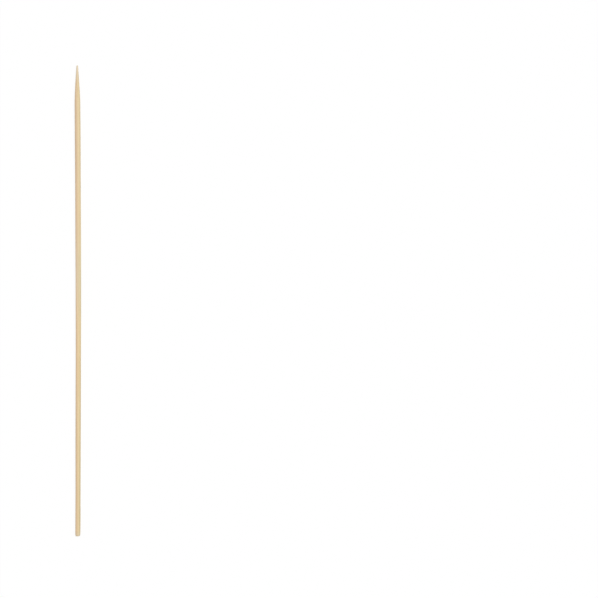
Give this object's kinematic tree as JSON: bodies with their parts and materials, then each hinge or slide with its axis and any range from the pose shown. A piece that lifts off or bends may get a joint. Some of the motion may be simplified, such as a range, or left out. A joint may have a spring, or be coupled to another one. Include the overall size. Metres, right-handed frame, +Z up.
{
  "type": "shrimp skewer",
  "caption": "Thin round bamboo skewer with a long sharpened point and a sawn blunt end, for threading and holding shrimps straight.",
  "frame": {"origin": "middle of the skewer's length, on the surface that it lies on", "axes": "+Y along the skewer from its blunt end towards its point, +Z up, +X to the right of a viewer who looks down with the point away from them"},
  "size_m": [0.0018, 0.15, 0.0017],
  "materials": {
    "bamboo": "smooth bare bamboo, drawn round, with fine lengthwise fibres"
  },
  "bodies": {
    "root": {"skewer": "bamboo"}
  },
  "joints": []
}
